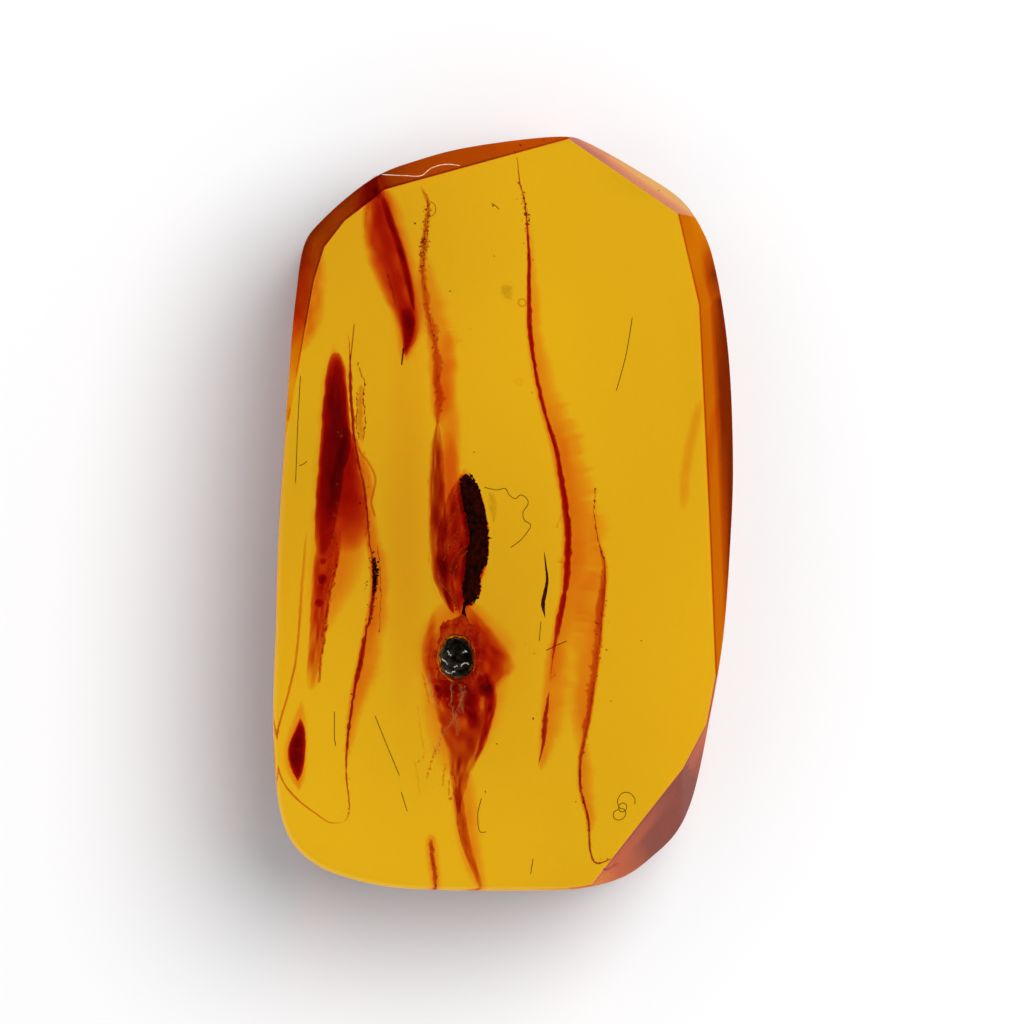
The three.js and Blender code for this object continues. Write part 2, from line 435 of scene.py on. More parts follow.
def strand(name, finish, path, radius, wander, depth, seed):
    """A thin thread that strays to both sides of a path and swells and thins as it runs."""
    steps = 14 * len(path)
    line = spline([inside(*point, depth) for point in path], steps + 1)

    def place(column, row):
        ahead = (line[min(row + 1, steps)] - line[max(row - 1, 0)]).normalized()
        side = Vector((-ahead.y, ahead.x, 0)).normalized()
        slow = noise.noise(Vector((row * 0.17, seed, 0)))
        quick = noise.noise(Vector((row * 0.5, seed, 5)))
        stray = wander * (slow + 0.5 * quick)
        swell = max(0.12,
                    0.8 + 1.3 * noise.noise(Vector((row * 0.3, seed, 9)))) * (0 if row in (0, steps) else 1)
        turn = 2 * math.pi * column / THREAD_POINTS
        around = side * math.cos(turn) + Vector((0, 0, math.sin(turn)))
        return line[row] + side * stray * MM + around * radius * swell * MM

    return new_piece(name, bent_grid(THREAD_POINTS, steps, place), FINISH[finish])


def blob(name, finish, spot, width, length):
    """A small uneven clot, longest along the slab."""
    bm = bmesh.new()
    bmesh.ops.create_icosphere(bm, subdivisions=3, radius=1)
    seed = sum(ord(letter) for letter in name)
    for vert in bm.verts:
        bulge = 1 + 0.35 * noise.noise(vert.co * 1.6 + Vector((seed, 0, 0)))
        size = Vector((vert.co.x * width, vert.co.y * length, vert.co.z * width)) / 2
        vert.co = inside(*spot) + size * bulge * MM
    return new_piece(name, bm, FINISH[finish])


def ring(name, finish, spot, radius, tube):
    """A round ring of stained resin: painted shade that stands in for the dark rim a bubble shows where its
    surface bends light.
    """
    def place(column, row):
        turn = 2 * math.pi * column / RING_POINTS
        roll = 2 * math.pi * row / TUBE_POINTS
        rim = Vector((math.cos(turn), math.sin(turn), 0))
        raised = Vector((0, 0, tube * math.sin(roll) * MM))
        return inside(*spot) + rim * (radius + tube * math.cos(roll)) * MM + raised

    return new_piece(name, bent_grid(RING_POINTS, TUBE_POINTS, place), FINISH[finish])


CENTRE_SEAM = [(0.56, 14.3), (0.68, 13.2), (0.84, 12.6), (0.92, 12), (1, 11), (1.04, 10.1), (1.04, 8.6),
               (1.12, 7), (1.4, 5.2), (1.8, 3.6), (2.16, 2.4), (2.32, 1.4), (2.52, 0.2), (2.6, -1),
               (2.56, -2.2), (2.4, -3.4), (2.2, -4.4), (2, -5.6), (1.88, -6.6)]
RIGHT_SEAM = [(3.68, 1.1), (3.64, 0.6), (3.64, 0), (3.72, -0.6), (3.84, -1.2), (4.04, -1.9), (4.04, -3),
              (3.92, -4.2), (3.84, -5.2), (3.64, -6.6), (3.44, -8), (3.24, -9), (3.08, -9.8), (3.08, -10.8),
              (3.24, -11.5), (3.4, -12.1), (3.44, -12.8), (3.48, -13.4), (3.68, -13.85), (4.04, -13.8),
              (4.4, -13.65)]
MIDDLE_SEAM = [(-3.28, 13.1), (-3, 12.5), (-3.04, 11.6), (-3.16, 10.6), (-3.2, 9.6), (-3.08, 8.6),
               (-2.88, 7.6), (-2.72, 6.8), (-2.64, 5.6), (-2.6, 4.6), (-2.6, 3.6)]
LEFT_STRAND = [(-6.24, 7.4), (-6.12, 6.9), (-6.08, 5.8), (-6.04, 4.4), (-5.96, 3.3), (-5.8, 2.5),
               (-5.68, 1.8), (-5.52, 1), (-5.4, 0), (-5.32, -1), (-5.2, -1.8), (-5.16, -3), (-5.28, -4),
               (-5.48, -4.8), (-5.68, -5.8), (-5.92, -7), (-6.12, -8.4), (-6.24, -9.8), (-6.2, -10.8),
               (-6.12, -11.4), (-6.12, -11.85), (-6.32, -12.2)]
LEFT_LOOP = [(-6.32, -12.2), (-6.84, -12.25), (-7.5, -11.85), (-8.2, -11.3), (-8.7, -10.7), (-8.96, -10),
             (-9.04, -9.2), (-8.92, -8.4), (-8.6, -7.3), (-8.3, -6.1), (-8.16, -5), (-8.04, -3.4),
             (-7.92, -1.8), (-7.8, -0.6)]


def centre_seam():
    stain("centre_seam_core", "pocket", CENTRE_SEAM, [0.04, 0.04, 0.1, 0.1, 0.06, 0.13, 0.15, 0.14, 0.03],
          [0.03, 0.04, 0.1, 0.09, 0.08, 0.13, 0.15, 0.12, 0.03],
          [0.4, 0.35, 0.5, 0.45, 0.4, 0.5, 0.5, 0.5, 0.3], 1.2, wobble=0.6, soft=0.5)
    stain("centre_seam_halo", "halo", CENTRE_SEAM[3:], [0.1, 0.2, 0.25, 0.3, 0.2],
          [0.3, 0.5, 0.7, 1.3, 1.5, 1.5, 0.9], [0.12, 0.25, 0.3, 0.4, 0.45, 0.4, 0.2], 2.4, tilt=1.0,
          soft=1.4, wobble=0.3)
    strand("centre_seam_thread", "thread", CENTRE_SEAM[:12], 0.02, 0.08, 1.0, 11)
    strand("centre_seam_lace", "pocket", CENTRE_SEAM[3:], 0.035, 0.2, 1.1, 12)
    crumbs = strewn(CENTRE_SEAM[1:5], 30, 0.08, 1.1, (0.07, 0.2), 3)
    crumbs += strewn(CENTRE_SEAM[4:], 60, 0.1, 1.0, (0.05, 0.14), 4)
    specks("centre_seam_specks", "thread", crumbs)
    specks("centre_seam_grit", "rib", strewn(CENTRE_SEAM[1:5], 16, 0.05, 0.9, (0.04, 0.09), 19), seed=19)
    for number, knot in enumerate(((2.2, 1.7), (2.36, 1.3), (2.16, -0.45))):
        blob("centre_seam_knot_%d" % number, "pocket", (*knot, 1.1), 0.09, 0.14)
    fibre("centre_seam_twig", "pocket", deep([(2.4, 0.1), (2.28, -0.15), (2.16, -0.4)], 1.2), 0.03,
          12)
    fibre("centre_seam_spur", "pocket", deep([(2.48, -1.9), (2.12, -1.85)], 1.2), 0.03, 6)
    stain("centre_seam_foot", "umber", [(1.84, -7), (1.76, -7.6), (1.68, -8.2), (1.6, -9.1), (1.4, -10)],
          [0.03, 0.1, 0.12, 0.06, 0.02], [0.03, 0.08, 0.12, 0.06, 0.02], 0.5, 1.3, wobble=0.7, soft=0.5)
    stain("centre_seam_foot_halo", "halo", [(1.96, -5), (1.84, -7), (1.68, -8.6), (1.52, -10.2)],
          [0.3, 0.35, 0.2], [0.9, 1.1, 0.8, 0.2], 0.3, 2.4, soft=1.6)


def sliver():
    stain("sliver", "debris",
          [(1.64, -1.45), (1.72, -2.1), (1.76, -2.6), (1.68, -3.1), (1.6, -3.55), (1.68, -4.1)],
          [0.02, 0.04, 0.05, 0.08, 0.09, 0.02], [0.02, 0.03, 0.05, 0.07, 0.08, 0.02], 0.25, 1.1, soft=0.5)
    fibre("sliver_tail", "debris", deep([(1.52, -4.2), (1.48, -4.6), (1.44, -5.05)], 1.1), 0.015, 10)


def right_seam():
    strand("right_seam_head", "thread", RIGHT_SEAM[:6], 0.035, 0.06, 1.2, 20)
    stain("right_seam_ribbon", "umber", RIGHT_SEAM[4:14], [0.05, 0.25, 0.28, 0.25, 0.2, 0.12, 0.05],
          [0.04, 0.06, 0.06, 0.08, 0.08, 0.05], [0.2, 0.25, 0.2, 0.2, 0.25, 0.3], 1.5, wobble=0.7, soft=0.5)
    strand("right_seam_edge", "pocket", RIGHT_SEAM[4:9], 0.05, 0.04, 1.3, 5)
    stain("right_seam_tail", "umber", RIGHT_SEAM[12:], [0.06, 0.05, 0.05, 0.04, 0.03],
          [0.06, 0.05, 0.04, 0.03], 0.5, 1.3, wobble=0.9, soft=0.5)
    strand("right_seam_thread", "thread", RIGHT_SEAM[9:], 0.02, 0.08, 1.1, 21)
    strand("right_seam_lace", "thread", RIGHT_SEAM[4:13], 0.016, 0.22, 1.2, 22)
    stain("right_seam_halo", "halo", RIGHT_SEAM[2:13], [0.3, 0.6, 1.1, 1.2, 1.1, 0.9, 0.3], 0.15,
          [0.1, 0.25, 0.35, 0.4, 0.4, 0.2], 2.3, tilt=-1.0, soft=1.4)
    stain("right_seam_low_halo", "halo", RIGHT_SEAM[11:17], 0.15, [0.3, 0.7, 0.5, 0.2], 0.3, 2.2, soft=1.4)
    crumbs = strewn(RIGHT_SEAM[5:13], 60, 0.13, 1.2, (0.05, 0.15), 5)
    crumbs += strewn(RIGHT_SEAM[13:], 40, 0.05, 1.2, (0.05, 0.14), 6)
    specks("right_seam_specks", "thread", crumbs)


def middle_seam():
    stain("middle_seam_core", "umber", MIDDLE_SEAM, [0.08, 0.14, 0.12, 0.14, 0.16, 0.2],
          [0.08, 0.16, 0.14, 0.18, 0.24, 0.26], [0.2, 0.18, 0.14, 0.16, 0.2, 0.26], 1.1, wobble=0.9,
          soft=0.5)
    stain("middle_seam_halo", "halo", MIDDLE_SEAM[3:], [0.25, 0.35, 0.4], [0.4, 0.8, 1.0, 0.9, 0.7],
          [0.2, 0.3, 0.35, 0.4], 2.2, tilt=0.8, soft=1.3, wobble=0.3)
    stain("middle_seam_cloud", "halo",
          [(-2.2, 7.4), (-2.12, 6.2), (-2.24, 5), (-2.12, 3.8), (-2.04, 2.4), (-2.04, 0.6)],
          [0.4, 0.6, 0.6], [0.3, 0.5, 0.4], [0.15, 0.3, 0.3], 2.8, soft=1.5)
    strand("middle_seam_thread", "thread", MIDDLE_SEAM[:8], 0.018, 0.1, 1.0, 31)
    strand("middle_seam_lace", "pocket", MIDDLE_SEAM[1:], 0.04, 0.2, 1.1, 32)
    fibre("middle_seam_hook", "thread",
          deep([(-2.92, 12.5), (-2.72, 12.35), (-2.68, 12.1), (-2.84, 11.9), (-3.04, 11.95)], 0.9), 0.025,
          24)
    crumbs = strewn(MIDDLE_SEAM[1:5], 60, 0.09, 1.0, (0.07, 0.18), 7)
    crumbs += strewn(MIDDLE_SEAM[4:], 40, 0.1, 1.0, (0.05, 0.14), 8)
    specks("middle_seam_specks", "thread", crumbs)
    specks("middle_seam_grit", "rib", strewn(MIDDLE_SEAM[1:5], 40, 0.07, 0.9, (0.04, 0.11), 18), seed=18)
    patch("middle_seam_band", "umber",
          [(-2.64, 3.9), (-2.84, 3), (-2.92, 2), (-2.96, 1), (-2.96, -0.2), (-2.92, -1.4), (-2.8, -2.5),
           (-2.48, -3.3), (-2.12, -3.9)],
          [(-2.56, 3.9), (-2.44, 3.2), (-2.36, 2.2), (-2.28, 1), (-2.2, -0.2), (-2.2, -1.4), (-2.16, -2.2),
           (-2.1, -3), (-2, -3.9)], [0.2, 0.42, 0.5, 0.5, 0.46, 0.3], 1.7, grain=1.0)
    strand("middle_seam_rim", "pocket",
           [(-2.84, 3), (-2.96, 1.4), (-2.96, -0.2), (-2.92, -1.8), (-2.8, -2.8), (-2.48, -3.4)], 0.03,
           0.06, 1.5, 41)


def left_seam():
    stain("left_seam_core", "umber", LEFT_STRAND,
          [0.03, 0.07, 0.05, 0.05, 0.03, 0.06, 0.1, 0.06, 0.05, 0.03],
          [0.03, 0.07, 0.06, 0.05, 0.03, 0.07, 0.1, 0.06, 0.05, 0.03],
          [0.4, 0.7, 0.4, 0.3, 0.3, 0.5, 0.5, 0.4, 0.3], 1.3, wobble=1.0, soft=0.5)
    strand("left_seam_thread", "thread", LEFT_STRAND[4:], 0.02, 0.06, 1.1, 51)
    strand("left_seam_frill", "pocket", LEFT_STRAND[1:18], 0.035, 0.2, 1.2, 52)
    fibre("left_seam_twig", "thread", deep([(-5.92, 7.65), (-6, 6.8), (-6.08, 6.1)], 1.1), 0.03,
          20)
    strand("left_seam_outer_strand", "thread",
           [(-5.76, 6.1), (-5.68, 5.7), (-5.52, 5.3), (-5.56, 4.6), (-5.48, 3.8), (-5.56, 3)], 0.035, 0.06,
           1.2, 53)
    strand("left_seam_inner_strand", "thread", [(-5.84, 4.9), (-5.8, 4.2), (-5.84, 3.6), (-5.72, 3)], 0.03,
           0.06, 1.2, 54)
    stain("left_seam_ribbon", "umber", [(-5.64, 5.2), (-5.68, 4.4), (-5.68, 3.6), (-5.6, 2.9)], 0.18, 0.15,
          0.1, 1.4, wobble=0.6)
    fibre("left_seam_side_loop", "pocket",
          deep([(-5.88, 3.1), (-5.68, 2.5), (-5.36, 2.1), (-5.08, 1.45), (-5.16, 0.9), (-5.24, 0.5),
                (-5.08, -0.1)], 1.1), 0.06, 50)
    stain("left_seam_loop_fill", "halo", [(-5.72, 2.4), (-5.4, 1.6), (-5.24, 0.6)], 0.3, 0.2, 0.3, 1.5)
    stain("left_seam_loop", "umber", LEFT_LOOP, [0.04, 0.04, 0.05, 0.06, 0.08],
          [0.03, 0.04, 0.05, 0.06, 0.1], [0.3, 0.22, 0.2, 0.12, 0.08], 0.8, wobble=0.6, soft=0.6, steps=160)
    stain("left_seam_halo", "halo", LEFT_STRAND[7:18], 0.2, [0.4, 0.5, 0.7, 0.8, 0.9, 0.5, 0.3],
          [0.3, 0.45, 0.45, 0.4, 0.2], 2.2, soft=1.4)
    crumbs = strewn([(-5.12, -1.7), (-5.08, -2.3), (-5.12, -3)], 80, 0.045, 1.0, (0.08, 0.2), 62)
    crumbs += strewn([(-5.36, -1.7), (-5.28, -1.8), (-5.12, -1.9)], 8, 0.03, 1.0, (0.06, 0.12), 63)
    crumbs += strewn([(-5.5, -2.8), (-5.36, -2.7)], 4, 0.03, 1.0, (0.06, 0.1), 64)
    crumbs += strewn([(-5.16, -3.2), (-5.2, -3.8), (-5.28, -4.3)], 24, 0.03, 1.0, (0.05, 0.11), 65)
    specks("left_seam_clot", "insect", crumbs, seed=17)
    stain("left_seam_shadow", "thread", [(-5.16, -1.7), (-5.1, -2.2), (-5.08, -2.7), (-5.16, -3.2)], 0.1,
          0.1, 0.09, 1.1, wobble=1.0, soft=0.5)
    strand("left_seam_lace", "thread", [(-5, -1.2), (-4.88, -2.4), (-4.88, -3.6), (-4.92, -4.7)], 0.025,
           0.05, 1.2, 61)
    crumbs = strewn(LEFT_STRAND[5:14], 60, 0.1, 1.2, (0.05, 0.15), 9)
    crumbs += strewn(LEFT_STRAND[14:], 50, 0.05, 1.2, (0.05, 0.13), 10)
    specks("left_seam_specks", "thread", crumbs)


def red_pocket():
    patch("red_pocket", "pocket",
          [(-7, 6.5), (-7.08, 5.7), (-7.16, 4.8), (-7.24, 3.8), (-7.32, 2.6), (-7.44, 1.2), (-7.52, -0.2),
           (-7.56, -1.6)],
          [(-6.32, 6.5), (-6.24, 5.8), (-6.2, 4.9), (-6.08, 3.6), (-6.08, 2.6), (-6.32, 1.7), (-6.48, 0.6),
           (-6.68, -0.6), (-6.96, -1.65)], [0.4, 0.8, 1.0, 1.05, 1.0, 0.85, 0.6, 0.25], 2.6, soft=0.6,
          grain=0.5)
    patch("red_pocket_bloom", "pocket",
          [(-6.44, 3.6), (-6.6, 2.6), (-6.84, 1.8), (-7, 0.6), (-6.92, -0.6), (-6.76, -1.5)],
          [(-6.04, 3.5), (-5.8, 2.6), (-5.64, 1.6), (-5.44, 0.6), (-5.32, -0.3), (-5.48, -1.5)],
          [0.35, 0.5, 0.5, 0.5, 0.25, 0.05], 2.0, soft=0.7)
    patch("red_pocket_skirt", "pocket",
          [(-7.48, -1), (-7.6, -2.2), (-7.68, -3.8), (-7.76, -5.2), (-7.92, -7)],
          [(-6.32, -0.2), (-6.48, -1.6), (-6.84, -3.1), (-7, -4.4), (-7.32, -7)],
          [0.3, 0.36, 0.3, 0.2, 0.05], 2.2, soft=0.6, grain=0.9)
    patch("red_pocket_edge", "halo",
          [(-6.92, 6.8), (-7.28, 5.6), (-7.44, 3.8), (-7.64, 1.4), (-7.8, -1.8), (-7.92, -5)],
          [(-6.6, 6.8), (-6.04, 5.8), (-5.88, 3.8), (-5.24, 1.4), (-5.4, -1.8), (-6.92, -5)],
          [0.2, 0.35, 0.4, 0.4, 0.35, 0.2], 3.0, soft=1.2)
    for number, (spot, size) in enumerate((((-7.16, -1.85), 0.28), ((-7.2, -2.55), 0.4),
                                           ((-7.32, -3.5), 0.36))):
        blob("red_pocket_drop_%d" % number, "pocket", (*spot, 2.0), size, size)
    strand("red_pocket_hem", "pocket",
           [(-6.56, -1.4), (-6.68, -2.2), (-6.88, -3), (-6.96, -3.6), (-7.08, -4.6), (-7.24, -5.6),
            (-7.32, -6.7)], 0.07, 0.08, 1.6, 71)
    strand("red_pocket_fringe", "thread",
           [(-6.6, -1.9), (-6.8, -2.8), (-6.96, -3.6), (-7.08, -4.6), (-7.24, -5.6), (-7.32, -6.7)], 0.03,
           0.16, 1.5, 72)
    seam = [(-6.52, 1.4), (-6.68, -0.2), (-6.8, -1.8), (-7.04, -3.4), (-7.2, -5.4)]
    specks("red_pocket_grit", "rib", strewn(seam, 70, 0.06, 1.3, (0.04, 0.11), 12), seed=12)
    # Painted highlights: three grey-white specks stand in for glints of light inside the red pocket.
    specks("red_pocket_glints", "glint",
           [(-6.56, 3.3, 1.3, 0.12), (-6.44, 3.15, 1.3, 0.1), (-6.44, 0.9, 1.3, 0.09)], seed=3)


def teardrop():
    patch("teardrop", "pocket",
          [(-8.12, -8.1), (-8.32, -8.65), (-8.52, -9.1), (-8.56, -9.6), (-8.44, -10.1), (-8.2, -10.6)],
          [(-8, -8.1), (-7.88, -8.5), (-7.84, -9.1), (-7.88, -9.7), (-7.96, -10.2), (-8.12, -10.6)],
          [0.4, 0.8, 1.0, 1.0, 0.8, 0.4], 0.9, soft=0.6)
    patch("teardrop_halo", "halo",
          [(-8.12, -7.4), (-8.48, -8.3), (-8.76, -9.2), (-8.76, -9.9), (-8.52, -10.5), (-8.16, -11)],
          [(-7.92, -7.4), (-7.76, -8.3), (-7.72, -9.2), (-7.76, -10), (-7.84, -10.5), (-8.08, -11)],
          [0.15, 0.3, 0.4, 0.4, 0.3], 1.2, soft=1.2)


def corner_wedge():
    patch("corner_wedge", "pocket",
          [(-5.48, 13.55), (-5.68, 12), (-5.64, 11.1), (-5.44, 10.2), (-5.12, 9.35), (-4.76, 8.55),
           (-4.4, 7.9), (-4.16, 7.2), (-4, 6.3)],
          [(-4.52, 13.55), (-4.16, 12), (-3.88, 11), (-3.6, 10), (-3.4, 9.2), (-3.24, 8.5), (-3.16, 7.8),
           (-3.32, 7.1), (-3.76, 6.3)], [0.3, 0.36, 0.36, 0.34, 0.36, 0.45, 0.4], 1.6, soft=2.2, grain=1.2)
    patch("corner_wedge_streak", "pocket",
          [(-5, 12.7), (-4.68, 11.7), (-4.36, 10.8), (-4.08, 9.8), (-3.84, 8.9), (-3.64, 8.1)],
          [(-4.6, 12.7), (-4.28, 11.7), (-3.96, 10.8), (-3.68, 9.8), (-3.52, 8.9), (-3.44, 8.1)],
          [0.4, 0.6, 0.65, 0.6, 0.6], 1.9, soft=1.8, grain=0.8)
    patch("corner_wedge_tip", "pocket", [(-4.2, 8.1), (-4.08, 7.5), (-4, 6.9), (-4, 6.4)],
          [(-3.72, 8.4), (-3.48, 7.8), (-3.56, 7.1), (-3.88, 6.4)], [0.15, 0.4, 0.45, 0.3], 1.9, soft=1.0)
    patch("corner_wedge_halo", "halo",
          [(-5.64, 13), (-5.68, 11.6), (-5.48, 10.2), (-5, 9), (-4.44, 7.8), (-4.2, 6.1)],
          [(-4.12, 13), (-3.8, 11.6), (-3.48, 10.3), (-3.16, 9), (-3.08, 7.6), (-3.64, 6.1)],
          [0.35, 0.45, 0.5, 0.45, 0.35], 2.6, soft=1.0)
    strand("corner_wedge_dashes", "thread", [(-4.68, 9.8), (-4.48, 9.2), (-4.28, 8.4)], 0.03, 0.08, 1.2, 81)
    strand("corner_wedge_edge", "pocket", [(-5.28, 12.6), (-5.48, 11.7), (-5.48, 10.9)], 0.03, 0.04, 1.2, 82)
    fibre("corner_wedge_tail", "debris", deep([(-3.96, 6.7), (-4, 6.3), (-4.04, 5.95)], 1.2), 0.03,
          10)


INSECT_BACK = [(-1.35, 1.66), (-1.2, 1.48), (-1, 1.1), (-0.86, 0.65), (-0.74, 0.2), (-0.65, -0.4),
               (-0.61, -1), (-0.61, -1.4), (-0.66, -1.9), (-0.86, -2.2), (-0.94, -2.6), (-0.92, -3.05),
               (-1.1, -3.4), (-1.3, -3.6)]
INSECT_BELLY = [(-1.62, 1.6), (-1.7, 1.48), (-1.66, 1), (-1.6, 0.6), (-1.5, 0.15), (-1.36, -0.4),
                (-1.3, -1), (-1.4, -1.4), (-1.46, -1.9), (-1.46, -2.2), (-1.54, -2.6), (-1.62, -3),
                (-1.6, -3.4), (-1.54, -3.6)]


def insect():
    patch("insect_body", "insect", INSECT_BELLY, INSECT_BACK, [0.5, 0.9, 1.0, 1.0, 1.0, 0.9, 0.8, 0.6], 1.9,
          soft=0.5, grain=0.5)
    strand("insect_back_edge", "insect", INSECT_BACK, 0.045, 0.05, 1.9, 140)
    strand("insect_belly_edge", "insect", INSECT_BELLY[1:-2], 0.04, 0.06, 1.9, 141)
    patch("insect_shade", "pocket",
          [(-1.84, 1.6), (-1.9, 1), (-1.78, 0.4), (-1.66, -0.2), (-1.56, -0.8), (-1.6, -1.4), (-1.7, -2),
           (-1.76, -2.6), (-1.76, -3.2), (-1.68, -3.7)],
          [(-1.3, 1.7), (-1.06, 1.3), (-0.8, 0.7), (-0.66, 0.1), (-0.56, -0.5), (-0.54, -1.3), (-0.6, -1.9),
           (-0.82, -2.5), (-0.86, -3.1), (-1.24, -3.7)], [0.5, 0.8, 1.0, 1.1, 1.0, 0.9, 0.7, 0.5], 2.4,
          soft=1.0)
    patch("insect_stem", "insect", [(-1.6, -3.45), (-1.62, -3.75), (-1.72, -4.15)],
          [(-1.4, -3.45), (-1.5, -3.75), (-1.42, -4.15)], [0.3, 0.3, 0.2], 1.8, soft=0.5)
    patch("insect_flank", "umber",
          [(-1.9, 1.4), (-2.2, 0.8), (-2.4, 0.1), (-2.6, -0.6), (-2.66, -1.4), (-2.64, -2.2), (-2.4, -2.8),
           (-2.1, -3.4), (-1.8, -3.9)],
          [(-1.64, 1.4), (-1.5, 0.6), (-1.36, -0.2), (-1.28, -1), (-1.36, -2), (-1.44, -2.8), (-1.54, -3.4),
           (-1.64, -3.9)], [0.26, 0.36, 0.42, 0.46, 0.46, 0.42, 0.28], 2.0, soft=0.5, grain=1.3)
    patch("insect_bridge", "halo",
          [(-2.5, 3.4), (-2.6, 2), (-2.6, 0.8), (-2.7, -0.6), (-2.76, -2), (-2.5, -3.2), (-1.9, -4.1)],
          [(-1.9, 3.4), (-1.7, 2), (-1.6, 0.8), (-1.4, -0.6), (-1.4, -2), (-1.5, -3.2), (-1.6, -4.1)],
          [0.2, 0.4, 0.45, 0.4, 0.35, 0.3], 3.0, soft=0.8, grain=0.6)
    patch("insect_aura", "halo",
          [(-1.64, 1.9), (-2.04, 1.2), (-2.24, 0.2), (-2.52, -1.8), (-2.28, -3.4), (-1.88, -4.1)],
          [(-1.4, 1.9), (-1.16, 1.5), (-0.84, 0.4), (-0.5, -1.2), (-0.8, -3), (-1.32, -4.1)],
          [0.3, 0.4, 0.5, 0.4], 3.2, soft=1.2)
    patch("insect_drop", "pocket", [(-2.4, -2.7), (-2.34, -3.2), (-2.16, -3.7), (-2, -3.95)],
          [(-2.34, -2.7), (-2.16, -3.1), (-1.98, -3.5), (-1.92, -3.9)], [0.3, 0.5, 0.4], 1.7, soft=0.6,
          grain=0.8)
    ribs = ([(-2.04, -2.7), (-1.88, -2.1), (-1.64, -1.7), (-1.4, -1.4)],
            [(-2.12, -2.2), (-1.92, -1.7), (-1.68, -1.4), (-1.44, -1.2)],
            [(-2.2, -0.4), (-1.96, 0), (-1.72, 0.4)],
            [(-2.28, -1.3), (-2.04, -0.9), (-1.76, -0.65), (-1.48, -0.6)],
            [(-2.36, -1.8), (-2.12, -1.3), (-1.84, -1), (-1.52, -0.9)],
            [(-2.08, 0.4), (-1.92, 0.75), (-1.72, 1.1)])
    for number, rib in enumerate(ribs):
        strand("insect_rib_%d" % number, "rib", rib, 0.03, 0.06, 1.45, 120 + number)
    strand("insect_pale_edge", "rib",
           [(-2.6, -2.5), (-2.4, -2.8), (-2.16, -3.05), (-1.96, -3.4), (-1.84, -3.8)], 0.035, 0.05, 1.4,
           131)
    specks("insect_tooth", "insect", [(-0.56, -0.92, 1.5, 0.16), (-0.48, -0.92, 1.5, 0.1)], 14)
    patch("insect_flake", "olive", [(-0.56, 0.9), (-0.6, 0.4), (-0.48, 0), (-0.4, -0.35)],
          [(-0.36, 0.95), (-0.24, 0.5), (-0.24, 0.1), (-0.36, -0.35)], 0.12, 1.0, soft=0.4, grain=1.6)
    strand("insect_flake_edge", "thread",
           [(-0.56, 0.85), (-0.4, 0.6), (-0.46, 0.2), (-0.34, -0.1), (-0.4, -0.3)], 0.012, 0.12, 1.0, 132)


